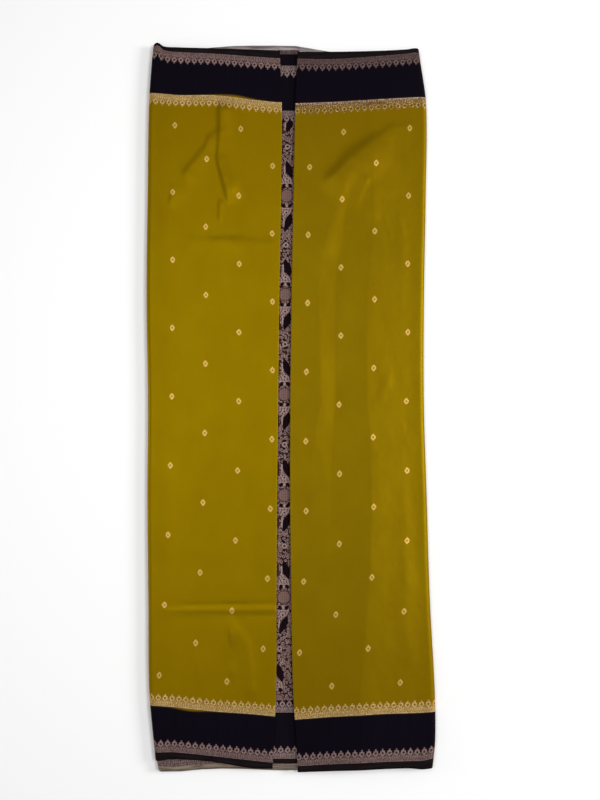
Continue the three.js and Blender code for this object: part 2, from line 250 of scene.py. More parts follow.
# The creases of each flap, from one point to another, drawn downwards or to the right. Each rises from
# its west side over one spread and falls off to the east over the other; a trough has a negative rise.
# For a level line the two sides are the south and the north.
creaseColumns = ("fromX", "fromY", "toX", "toY", "rise", "west", "east")
creaseFade = 0.35            # how much of its two spreads a crease fades over, on each side of an end
leftCreases = [
    (-112, 480, -112, 434, 2.0, 2.8, 12),
    (-114, 437, -129, 426, 1.0, 4, 14),
    (-129, 426, -135, 408, 1.3, 4, 14),
    (-135, 408, -170, 365, 1.3, 5, 16),
    (-188, 348, -186, 334, 0.6, 4, 6),
    (-187, 333, -193, 317, 0.9, 4, 9),
    (-112, 436, -115, 390, 1.7, 3.0, 12),
    (-115, 390, -106, 357, 2.1, 3.2, 12),
    (-106, 357, -97, 322, 1.9, 3.4, 18),
    (-107, 478, -93, 336, 1.9, 10, 14),
    (-111, 323, -112, 290, 1.2, 2.6, 5),
    (-164, 257, -124, 258, 0.5, 13, 6),
    (-124, 258, -77, 259, 1.2, 18, 4),
    (-77, 256, -24, 254, 0.7, 18, 5),
    (-92, 252, -80, 250, 0.7, 8, 3),
    (-160, 368, -176, 330, 0.5, 9, 12),
    (-196, -333, -20, -332, 0.65, 4.0, 3.6),
    (-190, -344, -20, -342, -0.4, 3.6, 3.8),
    (-168, -325, -20, -323, -0.45, 3.0, 4.0),
    (-104, -324, -66, -325, -0.4, 3.0, 3.4),
    (-94, -347, -67, -381, 1.1, 12, 6),
    (-67, -381, -58, -465, 1.0, 12, 8),
    (-90, -362, -91, -384, 1.5, 3.2, 8),
    (-92, -426, -86, -434, 1.2, 3.2, 7),
    (-146, -400, -141, -452, 0.35, 3.5, 9),
    (-205, -322, -204, -343, 0.5, 3, 8),
]
rightCreases = [
    (205, 448, 168, 444, 0.5, 4, 14),
    (168, 444, 142, 424, 1.5, 5, 30),
    (142, 424, 120, 405, 3.8, 9.5, 46),
    (120, 405, 92, 380, 5.2, 13.5, 46),
    (92, 380, 64, 353, 4.2, 10.5, 46),
    (100, 373, 82, 334, 0.9, 7, 12),
    (127, 360, 110, 322, 1.1, 9, 6),
    (110, 322, 98, 280, 0.6, 9, 8),
    (134, 346, 135, 298, 0.8, 9, 26),
    (162, 366, 165, 334, 0.3, 9, 14),
    (84, 336, 74, 296, 1.2, 9, 18),
    (74, 296, 56, 240, 0.9, 9, 18),
    (21, 376, 21, 324, 0.35, 2.5, 5),
    (165, 45, 146, 0, 0.4, 8, 6),
    (186, -40, 211, -46, -0.6, 4, 5),
    (154, 299, 165, 262, 0.3, 4, 5),
    (176, 300, 186, 268, 0.3, 4, 5),
    (86, -350, 84, -440, 0.3, 9, 8),
    (205, -325, 222, -318, 0.6, 5, 5),
]

# The right flap swells twice between the gap and its fold, along three lines at stations of y.
rightSwells = {
    "y":          [-549, -447, -317, -191, -64, 0, 172, 239, 324, 372, 472, 571],
    "ridge":      [46, 43, 37, 35, 40, 50, 47, 54, 70, 72, 67, 67],
    "trough":     [69, 66, 65, 67, 71, 75, 76, 83, 96, 98, 95, 92],
    "press":      [112, 114, 125, 131, 130, 125, 126, 133, 136, 137, 135, 134],
    "gapRise":    [-0.4, -0.5, -0.5, 0.1, 1.0, 1.1, 1.1, 0.8, 0.4, 0.1, 0.0, 0.0],
    "ridgeRise":  [0.9, 1.0, 1.0, 1.5, 2.1, 2.2, 1.9, 1.3, 1.0, 1.0, 1.0, 0.8],
    "troughRise": [1.6, 1.8, 1.9, 1.3, 0.4, 0.0, -0.3, -0.4, 0.2, 1.6, 1.6, 1.2],
    "pressRise":  [4.6, 5.8, 6.4, 5.4, 4.2, 3.6, 3.5, 3.5, 3.4, 3.1, 2.6, 1.8],
    "shoulder": 52, "shoulderRise": 0.45,        # how far past the press, and its share of that height
    "foldRise": 0.4,
    "softness": 0.25,        # share of each slope's rise that is rounded, where the rest is straight
    "wiggle": 1.8, "wiggleLength": 47, "wiggleStray": 31, "wiggleMiddle": 275, "wiggleReach": 75,
}


def swellLift(x, y):
    # nearly straight slopes from line to line: up from the gap to the ridge, down to the trough, up to
    # the pressed line, and down past the shoulder to the outer fold, steeper at first
    s = rightSwells

    def column(name):
        return smoothCurve(s, "y", name)(y)

    wiggle = np.sin(y * 2 * math.pi / s["wiggleLength"] + 2 * np.sin(y / s["wiggleStray"]))
    wiggle = s["wiggle"] * wiggle * np.exp(-((y - s["wiggleMiddle"]) / s["wiggleReach"]) ** 2)
    press = column("press")
    lines = [gapRight(y), column("ridge") + wiggle, column("trough") - wiggle,
             press, press + s["shoulder"], foldRight(y)]
    heights = [column(name) for name in ("gapRise", "ridgeRise", "troughRise", "pressRise")]
    heights += [heights[3] * s["shoulderRise"], s["foldRise"]]
    lift = heights[0] + np.zeros_like(x)
    soft = s["softness"]
    for k in range(len(lines) - 1):
        f = np.clip((x - lines[k]) / (lines[k + 1] - lines[k]), 0, 1)
        lift += (heights[k + 1] - heights[k]) * ((1 - soft) * f + soft * (3 - 2 * f) * f * f)
    return lift


def creaseLift(creases, x, y):
    # the sum of soft ridges: each is its rise times a bell of the distance to its line, with a spread of
    # its own on each side, times a share that falls from 1 to 0 round each end, half at the end itself
    lift = np.zeros_like(x)
    for crease in creases:
        c = dict(zip(creaseColumns, crease))
        alongX, alongY = c["toX"] - c["fromX"], c["toY"] - c["fromY"]
        length = math.hypot(alongX, alongY)
        passed = ((x - c["fromX"]) * alongX + (y - c["fromY"]) * alongY) / length
        aside = (alongX * (y - c["fromY"]) - alongY * (x - c["fromX"])) / length
        reach = np.where(aside > 0, c["east"], c["west"])
        fade = min(creaseFade * (c["east"] + c["west"]), length / 2)
        share = smoothStep(passed, -fade, fade) * smoothStep(length - passed, -fade, fade)
        lift += c["rise"] * share * np.exp(-(aside / reach) ** 2)
    return lift


slack = {
    "waves": 9,
    "lengths": (0.6, 1.7),   # shortest and longest wave, as shares of the length asked for
    "alongShare": 0.45,      # a wave along y is longer than one across by 1 over this
}


def slackLift(x, y, seed, height, length):
    # the sum of sine waves that cross at different angles, as slack cloth lies, divided by the square
    # root of their number, so that together they rise about as much as one wave of this height
    draw = np.random.default_rng(seed)
    lift = np.zeros_like(x)
    for _ in range(slack["waves"]):
        angle, phase = draw.uniform(0, math.pi), draw.uniform(0, 2 * math.pi)
        wave = length * draw.uniform(*slack["lengths"])
        passed = x * math.cos(angle) + slack["alongShare"] * y * math.sin(angle)
        lift += np.sin(passed * 2 * math.pi / wave + phase)
    return lift * height / math.sqrt(slack["waves"])


outer = {
    "returnWidth": 13,       # how far each inner edge is turned back under its flap
    "noseRadius": 0.45,      # of the pressed edge beside the gap
    "returnColumns": 4, "noseColumns": 5, "flapColumns": 93, "foldColumns": 11, "underColumns": 18,
    "rowStations": [0, 8, 79, 230, 270, 740, 1050, 1071, 1142, 1150],    # closer where creases cross
    "rowCounts": [3, 14, 18, 16, 52, 74, 4, 14, 3],
    "slackSeed": 11, "slackHeight": 0.30, "slackLength": 150,
    "rippleSeed": 12, "rippleHeight": 0.06, "rippleLength": 28,
    "deepestTrough": 1.1,
    "leftRise": 1.5,         # the left flap lies this much higher beside its fold than beside the gap
    "returnFloor": 10.55,    # the turned-back edge stays above the layers below it
    "sideBlend": 150,        # the underside passes from the left flap's lines to the right's over this
    "leftShift": 27.2,       # these two set where the woven motifs fall on each flap
    "rightShift": 941.6,
    "selvedge": 8, "paleWidth": 0, "zariStretch": 1,     # of its silk
}


def weaveY(table, x, v):
    # y of the thread at v, at each x: straight between the lines of the weave table
    y = np.zeros_like(x)
    for k in range(len(weaveLines) - 1):
        low, high = [smoothCurve(table, "x", name)(x) for name in weaveLines[k:k + 2]]
        f = (v - weavePlaces[k]) / (weavePlaces[k + 1] - weavePlaces[k])
        y = np.where(f >= 0, low * (1 - f) + high * f, y)
    return y


def makeOuterCloth():
    # from under the left flap's inner edge over the left flap, round its fold, along the underside,
    # round the right fold and back over the right flap to under its inner edge
    o, half = outer, bundle["thickness"] / 2
    top, middle, nose = bundle["flapTop"] - half, bundle["foldTop"] / 2, o["noseRadius"]
    back, bend = o["returnWidth"], middle - half
    stretches = [
        straight(atGapLeft, atGapLeft, -back, -nose, top - 2 * nose, o["returnColumns"]),
        turned(atGapLeft, -nose, top - nose, nose, -quarter, quarter, o["noseColumns"]),
        straight(atGapLeft, atFoldLeft, -nose, middle, top, o["flapColumns"]),
        turned(atFoldLeft, middle, middle, bend, quarter, 3 * quarter, o["foldColumns"]),
        straight(atFoldLeft, atFoldRight, middle, -middle, half, o["underColumns"]),
        turned(atFoldRight, -middle, middle, bend, -quarter, quarter, o["foldColumns"]),
        straight(atFoldRight, atGapRight, -middle, nose, top, o["flapColumns"]),
        turned(atGapRight, nose, top - nose, nose, quarter, 3 * quarter, o["noseColumns"]),
        straight(atGapRight, atGapRight, nose, back, top - 2 * nose, o["returnColumns"]),
    ]
    shares, offsets, heights = joined(stretches)
    starts = np.cumsum([0] + [len(stretch[1]) for stretch in stretches])
    column = np.arange(len(offsets))[None, :]
    onLeft, onRight = column < starts[4], column >= starts[5]
    onFlap = (column < starts[3]) | (column >= starts[6])
    returned = (column < starts[1]) | (column >= starts[8])

    v = rowPlaces(o["rowStations"], o["rowCounts"])[:, None] + np.zeros(len(offsets))[None, :]
    x = placeAcross(shares, offsets, v - bundle["clothWidth"] / 2)
    toRight = smoothStep(x, -o["sideBlend"], o["sideBlend"])
    toRight = np.where(onLeft, 0, np.where(onRight, 1, toRight))
    y = weaveY(leftWeave, x, v) * (1 - toRight) + weaveY(rightWeave, x, v) * toRight
    x = placeAcross(shares, offsets, y)

    fromLeft = (x - foldLeft(y)) / (gapLeft(y) - foldLeft(y))
    leftSlope = o["leftRise"] * (1 - fromLeft * fromLeft)
    onLeftSide = creaseLift(leftCreases, x, y) + leftSlope
    lift = np.where(x < 0, onLeftSide, creaseLift(rightCreases, x, y) + swellLift(x, y))
    lift += slackLift(x, y, o["slackSeed"], o["slackHeight"], o["slackLength"])
    lift += slackLift(x, y, o["rippleSeed"], o["rippleHeight"], o["rippleLength"])
    lift = np.maximum(lift, -o["deepestTrough"])
    fromFold = np.where(x < 0, x - foldLeft(y), foldRight(y) - x)
    flat = smoothStep(fromFold - middle, 0, bundle["foldBlend"])
    lift = lift * flat + (bundle["foldTop"] - bundle["flapTop"]) * (1 - flat)
    z = heights[None, :] + np.where(onFlap, lift, 0)
    z = np.where(returned, np.maximum(z, o["returnFloor"]), z)

    # the map follows the threads on the flaps and runs on evenly round the folds and edges
    run = lengthAlong(x, z)
    onLeftFlap = o["leftShift"] - x + smoothCurve(threadDrift, "y", "left")(y)
    onRightFlap = o["rightShift"] - x + smoothCurve(threadDrift, "y", "right")(y)
    first, last = starts[3] - 1, starts[6]
    f = ((run - run[first]) / (run[last] - run[first]))[None, :]
    along = onLeftFlap[:, [first]] * (1 - f) + onRightFlap[:, [last]] * f
    along = np.where(column <= first, onLeftFlap, np.where(column >= last, onRightFlap, along))
    for edge, side in ((starts[2], column < starts[2]), (starts[7] - 1, column >= starts[7])):
        along = np.where(side, along[:, [edge]] + (run - run[edge])[None, :], along)
    piece = addSheet("outerCloth", x, y, z, along, v)
    print("outer layer:", x.shape, "points,", round(float(run[-1]), 1), "mm along the cloth")
    return piece, float(run[-1]) * mm


# How far the hidden layers reach at each end, and how far each falls short of that, lowest first.
hiddenEnds = {
    "x":      [-229, -193, -138, -87, -14, 14, 70, 142, 230],
    "bottom": [-580.0, -587.0, -582.5, -581.5, -584.0, -584.0, -578.0, -575.0, -572.0],
    "top":    [573.0, 573.5, 578.5, 582.5, 583.0, 582.0, 572.0, 567.0, 564.0],
}
baseShort = {"bottom": [5.0, 2.0, 0.0, 3.0], "top": [6.0, 0.0, 3.0, 1.5]}
sideShort = {"bottom": [5.0, 2.5, 6.0, 3.5], "top": [4.5, 7.0, 3.5, 6.0]}

inner = {
    "noseBack": [3.4, 4.0, 3.6, 4.4],    # how far each layer stops behind the gap's edge
    "sideColumns": 9, "foldColumns": 7, "baseColumns": 14, "noseColumns": 3,
    "rowStations": [0, 95, 1055, 1150], "rowCounts": [14, 66, 14],
    "waveHeight": 0.15, "waveLength": 90, "waveStray": 61, "waveReach": 45,    # of the free ends
    "selvedge": 0.3, "paleWidth": 6, "zariStretch": 2,   # of its silk
}


def makeInnerLayers():
    # one long stretch laid to and fro: each layer runs from one edge of the gap round both folds to the
    # other edge, and turns there into the next one inside it
    n, half, middle = inner, bundle["layerHeight"] / 2, bundle["foldTop"] / 2
    count = len(n["noseBack"])
    stretches, toBase, layerRow = [], [], []
    for k, back in enumerate(n["noseBack"]):
        base = bundle["baseFloor"] + half + k * bundle["layerHeight"]
        side = bundle["sideFloor"] + half + (count - 1 - k) * bundle["layerHeight"]
        centre, radius = (side + base) / 2, (side - base) / 2
        layer = [
            straight(atGapLeft, atFoldLeft, -back, middle, side, n["sideColumns"]),
            turned(atFoldLeft, middle, centre, radius, quarter, 3 * quarter, n["foldColumns"]),
            straight(atFoldLeft, atFoldRight, middle, -middle, base, n["baseColumns"]),
            turned(atFoldRight, -middle, centre, radius, -quarter, quarter, n["foldColumns"]),
            straight(atFoldRight, atGapRight, -middle, back, side, n["sideColumns"]),
        ]
        inFold = np.linspace(0, 1, n["foldColumns"] + 2)[1:-1]
        inSide = np.zeros(n["sideColumns"])
        share = np.concatenate([inSide, inFold, np.ones(n["baseColumns"]), inFold[::-1], inSide])
        if k % 2:
            layer = [[part[::-1] for part in stretch] for stretch in layer[::-1]]
        stretches += layer
        toBase.append(share)
        layerRow.append(np.full(len(share), k))
        if k < count - 1:
            line, sign = (atGapRight, 1) if k % 2 == 0 else (atGapLeft, -1)
            endAngle = 3 * quarter if sign > 0 else -quarter
            stretches.append(
                turned(line, sign * back, side - half, half, quarter, endAngle, n["noseColumns"]))
            toBase.append(np.zeros(n["noseColumns"]))
            layerRow.append(np.full(n["noseColumns"], k))
    shares, offsets, heights = joined(stretches)
    toBase, layerRow = np.concatenate(toBase), np.concatenate(layerRow)

    def fallShort(end):
        side = np.array(sideShort[end])[count - 1 - layerRow]
        return (side * (1 - toBase) + np.array(baseShort[end])[layerRow] * toBase)[None, :]

    v = rowPlaces(n["rowStations"], n["rowCounts"])[:, None] + np.zeros(len(offsets))[None, :]
    f = v / bundle["clothWidth"]
    x = placeAcross(shares, offsets, v - bundle["clothWidth"] / 2)
    bottom = smoothCurve(hiddenEnds, "x", "bottom")(x) + fallShort("bottom")
    top = smoothCurve(hiddenEnds, "x", "top")(x) - fallShort("top")
    y = bottom * (1 - f) + top * f
    x = placeAcross(shares, offsets, y)
    run = lengthAlong(x, heights[None, :] + 0 * x)
    fromEnd = np.minimum(v, bundle["clothWidth"] - v)
    wave = np.sin(run * 2 * math.pi / n["waveLength"] + 2 * np.sin(run / n["waveStray"]))[None, :]
    z = heights[None, :] + n["waveHeight"] * wave * np.exp(-fromEnd / n["waveReach"])
    piece = addSheet("innerLayers", x, y, z, run[None, :] + 0 * x, v)
    print("hidden layers:", x.shape, "points,", round(float(run[-1]), 1), "mm along the cloth")
    return piece, float(run[-1]) * mm


pallu = {
    "columns": 16, "rows": 190,
    "tuck": 13.5,            # how far it runs on under each flap
    "bottom": -572.5, "top": 567.5,
    "height": 5.5,
    "slackSeed": 5, "slackHeight": 0.10, "slackLength": 60,
}


def makePalluCloth():
    # the stretch between two lines along y, a little slack; its map starts at the middle of its flowers
    n = pallu
    f = np.linspace(0, 1, n["columns"])[None, :]
    length = n["top"] - n["bottom"]
    v = np.linspace(0, length, n["rows"])[:, None] + 0 * f
    y = n["bottom"] + v
    left, right = gapLeft(y) - n["tuck"], gapRight(y) + n["tuck"]
    x = left * (1 - f) + right * f
    z = n["height"] + slackLift(x, y, n["slackSeed"], n["slackHeight"], n["slackLength"])
    along = x - smoothCurve(threadDrift, "y", "pallu")(y)
    piece = addSheet("palluCloth", x, y, z, along, v)
    width = float(np.mean(right - left))
    print("pallu:", x.shape, "points,", round(width, 1), "by", length, "mm")
    return piece, width * mm, length * mm


class Wire:
    # an output of a node that takes part in sums as a number does: each operator adds a Math node
    def __init__(self, recipe, socket):
        self.recipe, self.socket = recipe, socket

    def math(self, operation, *others):
        return self.recipe.node("ShaderNodeMath", {"operation": operation}, [self, *others])

    def __add__(self, other):
        return self.math("ADD", other)

    def __sub__(self, other):
        return self.math("SUBTRACT", other)

    def __mul__(self, other):
        return self.math("MULTIPLY", other)

    def __truediv__(self, other):
        return self.math("DIVIDE", other)

    def __radd__(self, other):
        return self.math("ADD", other)

    def __rsub__(self, other):
        return self.recipe.node("ShaderNodeMath", {"operation": "SUBTRACT"}, [other, self])

    def __rmul__(self, other):
        return self.math("MULTIPLY", other)

    def __abs__(self):
        return self.math("ABSOLUTE")


class Recipe:
    # the nodes of one material
    def __init__(self, name):
        self.material = bpy.data.materials.new(name)
        self.material.use_nodes = True
        self.tree = self.material.node_tree
        self.tree.nodes.clear()

    def node(self, kind, settings, inputs, output=0):
        # settings first, then the values or links of the inputs, by place or by name
        made = self.tree.nodes.new(kind)
        for name, value in settings.items():
            setattr(made, name, value)
        for key, value in (inputs.items() if isinstance(inputs, dict) else enumerate(inputs)):
            if isinstance(value, Wire):
                self.tree.links.new(value.socket, made.inputs[key])
            else:
                made.inputs[key].default_value = value
        return Wire(self, made.outputs[output]) if made.outputs else None

    def clothMap(self):
        # millimetres along the cloth and across it
        place = self.node("ShaderNodeUVMap", {"uv_map": "cloth"}, [])
        return [self.node("ShaderNodeSeparateXYZ", {}, [place], axis) / mm for axis in (0, 1)]

    def noise(self, a, b, look):
        # 0 to 1; its look is the length of a blotch in a and in b, the seed and the detail
        lengthA, lengthB, seed, detail = look
        place = self.node("ShaderNodeCombineXYZ", {}, [a / lengthA, b / lengthB, seed])
        return self.node("ShaderNodeTexNoise", {}, {"Vector": place, "Scale": 1.0, "Detail": detail})

    def cells(self, a, b, feature):
        # round cells, one for each unit of a and b
        place = self.node("ShaderNodeCombineXYZ", {}, [a, b, 0.0])
        return self.node("ShaderNodeTexVoronoi", {"voronoi_dimensions": "2D", "feature": feature},
                         {"Vector": place, "Scale": 1.0}, "Distance")

    def mixed(self, share, first, second):
        return self.node("ShaderNodeMix", {"data_type": "RGBA"}, {0: share, 6: first, 7: second}, 2)

    def cloth(self, colour, roughness, metallic, heights, sheen, glossTint):
        # the shader of every silk here; heights are a list of (height from 0 to 1, its size in mm)
        normal = None
        for height, size in heights:
            bump = {"Strength": 1.0, "Distance": size * mm, "Height": height}
            if normal:
                bump["Normal"] = normal
            normal = self.node("ShaderNodeBump", {}, bump)
        shader = self.node("ShaderNodeBsdfPrincipled", {}, {
            "Base Color": colour, "Roughness": roughness, "Metallic": metallic, "Normal": normal,
            "Specular IOR Level": 0.05, "Specular Tint": glossTint,
            "Sheen Weight": sheen, "Sheen Roughness": 0.45, "Sheen Tint": glossTint,
        })
        self.node("ShaderNodeOutputMaterial", {}, {"Surface": shader})
        return self.material


def dye(red, green, blue):
    # a colour in everyday numbers from 0 to 255, turned into shares of light
    shares = [c / 255 for c in (red, green, blue)]
    return (*[c / 12.92 if c < 0.04045 else ((c + 0.055) / 1.055) ** 2.4 for c in shares], 1)


def within(distance, blur=0.35):
    # 1 where the distance is below 0, 0 where it is above, with a soft edge as wide as the blur
    return distance.recipe.node("ShaderNodeMath", {"operation": "MULTIPLY_ADD", "use_clamp": True},
                                [distance, -1 / blur, 0.5])


def between(value, low, high, blur=0.35):
    return within(abs(value - (low + high) / 2) - (high - low) / 2, blur)


def wrapped(value, period):
    # distance from the nearest of the places that are a period apart
    return value.math("WRAP", period / 2, -period / 2)


def stripes(value, period, halfWidth):
    return within(abs(wrapped(value, period)) - halfWidth)


def far(a, b):
    return (a * a + b * b).math("SQRT")


def ring(distance, radius, halfWall):
    return within(abs(distance - radius) - halfWall)


def oval(a, b, halfWidth, halfHeight, blur=0.3):
    # 1 round the place where a and b are 0; the blur is a share of its size
    return within(far(a / halfWidth, b / halfHeight) - 1, blur)


def either(*masks):
    found = masks[0]
    for mask in masks[1:]:
        found = found.math("MAXIMUM", mask)
    return found


def clamped(value):
    return value.recipe.node("ShaderNodeClamp", {}, [value])


def levelled(value, levels):
    # the value times its first level plus its second, kept from 0 to 1
    gain, offset = levels
    return clamped(value * gain + offset)


# A band of metal thread. Places and sizes are in mm, and a place is counted inward from its outer edge.
zari = {
    "pitch": 10.9,           # from one flower to the next
    "denseWidth": 8.6,       # of the closely woven part
    "lines": [(0.0, 1.2), (4.0, 4.7), (7.9, 8.6)],
    "beadPitch": 2.73, "beadAt": 2.6, "beadRadius": 0.85,
    "diamondPitch": 3.63, "diamondAt": 6.3, "diamondWidth": 1.7, "diamondHeight": 1.6,
    "flowerAt": 12.9, "flowerRadius": 3.0, "flowerWall": 1.2,
    "budAt": 17.5, "budWidth": 1.45, "budHeight": 2.2,
    "leafAt": 10.4, "leafWidth": 1.4, "leafHeight": 2.6,
    "petalAside": 3.6, "petalAt": 16.2, "petalRadius": 0.5,
    "budTone": 0.85, "smallTone": 0.7,           # of a bud, and of a leaf or petal, beside a flower's
    "denseTone": 0.28, "lineTone": 0.48,         # of the closely woven part, and what its lines add
    "heartTone": 0.16,                           # inside a flower
    "denseCover": 0.97, "heartCover": 0.75,      # how much of the cloth below they hide
    "speck": (1.5, 1.5, 6.6, 1.0), "speckLevels": (3.2, -1.1),
    "dimTone": 0.5, "speckTone": 0.95,           # all of it is this bright, and brighter at the specks
}


def zariBand(along, inward, bright):
    # a closely woven band with lines, beads and diamonds, and a row of round flowers with a bud on each.
    # inward is the distance from the band's outer edge. Gives where it shows, and how bright it is.
    z = zari
    flower = wrapped(along, z["pitch"])
    beside = wrapped(along + z["pitch"] / 2, z["pitch"])
    bead = wrapped(along, z["beadPitch"])
    diamond = wrapped(along, z["diamondPitch"])

    dense = between(inward, 0, z["denseWidth"])
    lines = [between(inward, start, end) for start, end in z["lines"]]
    beads = within(far(bead, inward - z["beadAt"]) - z["beadRadius"])
    pointed = abs(diamond) / z["diamondWidth"] + abs(inward - z["diamondAt"]) / z["diamondHeight"]
    drawn = either(*lines, beads, within(pointed - 1, 0.4))
    denseTone = dense * (z["denseTone"] + z["lineTone"] * drawn)

    toFlower = far(flower, inward - z["flowerAt"])
    heart = within(toFlower - z["flowerRadius"])
    bud = oval(flower, inward - z["budAt"], z["budWidth"], z["budHeight"])
    leaf = oval(beside, inward - z["leafAt"], z["leafWidth"], z["leafHeight"])
    petal = within(far(abs(flower) - z["petalAside"], inward - z["petalAt"]) - z["petalRadius"])
    flowers = either(ring(toFlower, z["flowerRadius"], z["flowerWall"]), bud * z["budTone"],
                     either(petal, leaf) * z["smallTone"])

    speck = levelled(along.recipe.noise(along, inward, z["speck"]), z["speckLevels"])
    tone = either(denseTone, heart * z["heartTone"], flowers * bright)
    cover = either(dense * z["denseCover"], heart * z["heartCover"], flowers)
    return cover, tone * (z["dimTone"] + z["speckTone"] * speck)


silk = {
    "field": dye(131, 106, 1), "fieldLight": dye(134, 109, 2), "fieldDark": dye(127, 101, 1),
    "fieldEnds": dye(134, 104, 1),   # towards the two borders
    "navy": dye(13, 9, 20), "navyLight": dye(18, 14, 27),
    "selvedge": dye(32, 27, 31), "selvedgeDark": dye(14, 10, 13),
    "rose": dye(152, 125, 121), "roseDark": dye(40, 26, 28),
    "gold": dye(222, 186, 120), "goldDark": dye(104, 74, 28), "goldWorn": dye(60, 36, 26),
    "bead": dye(236, 208, 186), "beadDark": dye(96, 64, 50),    # of the gold zari's outer line
    "paleEdge": dye(172, 156, 138), "paleTop": dye(205, 193, 195),    # of the hidden layers' zari
    "motif": dye(198, 162, 82), "motifEye": dye(120, 86, 26),
    "gloss": dye(226, 196, 90),

    # Each noise is the length of its blotches along and across the cloth, a seed and a detail; levels are
    # what it is multiplied by and what is then added.
    "mottle": (38, 60, 1.3, 3.0), "mottleLevels": (2.2, -0.6),
    "streak": (3.5, 160, 4.1, 2.0), "navyLevels": (0.8, -0.1),
    "crepe": (0.8, 0.8, 2.2, 2.0),
    "weaveLevels": (1.6, 0.8, -0.7), "weaveShare": 0.5,    # of the streaks and the crepe together
    "thread": (30, 1.6, 3.3, 2.0), "selvedgeLevels": (1.8, -0.3), "paleLevels": (3.2, -0.9),
    "wear": (26, 9, 8.8, 3.0), "wearLevels": (3, -1.2),
    "ragged": (2.2, 2.2, 5.9, 2.0), "raggedShare": 0.5,
    "wrinkle": (24, 34, 9.1, 2.0),

    "endsFrom": 190, "endsBlur": 260, "endsShare": 0.8,    # of the field's change towards the borders
    "rightFrom": 500, "rightBlur": 60,    # the right flap starts here along the cloth
    "rightNavy": 0.10,               # how much duller its field is
    "topDulling": 0.42,              # and its top zari
    "topContrast": 1.1, "topMiddle": 0.6,    # how much sharper that gold is, round this tone

    "innerZari": 71,                 # inward from the selvedge band
    "navyPast": 1.0, "navyBlur": 4.5,
    "navyStray": (40, 1, 7.7, 2.0), "navyStrayBy": 0.5,
    "navyGaps": [(117, 30, 3.6, 1), (165, 26, 3.6, -1)],    # along, spread, depth, top or bottom
    "roseBright": 0.84, "goldBright": 0.66, "goldShift": 4.0,
    "beadLine": (0, 3.4), "beadShare": 0.15, "beadShareTop": 0.8,
    "wornBand": (3.4, 9.4), "wornBy": 0.2, "wornTopBy": 0.5,

    "motifColumn": 53.6, "motifRow": 111.67, "firstRow": 127,
    "motifWidth": 4.5, "motifHeight": 6.0, "motifFullness": 0.55, "motifBlur": 0.26,
    "eyeSize": 0.38, "eyeBlur": 0.34, "eyeShare": 0.8,
    "lobeAside": 2.3, "lobeBelow": 0.6, "lobeRadius": 0.5, "lobeShare": 0.5,
    "fieldFrom": 97,                 # motifs lie further than this from each selvedge

    "metallic": 0.58, "metallicMore": 0.05, "roughness": 0.45, "roughnessLess": 0.05,    # on metal thread
    "wrinkleHeight": 0.40, "threadHeight": 0.10, "crepeHeight": 0.05,
    "sheen": 0.02,
}


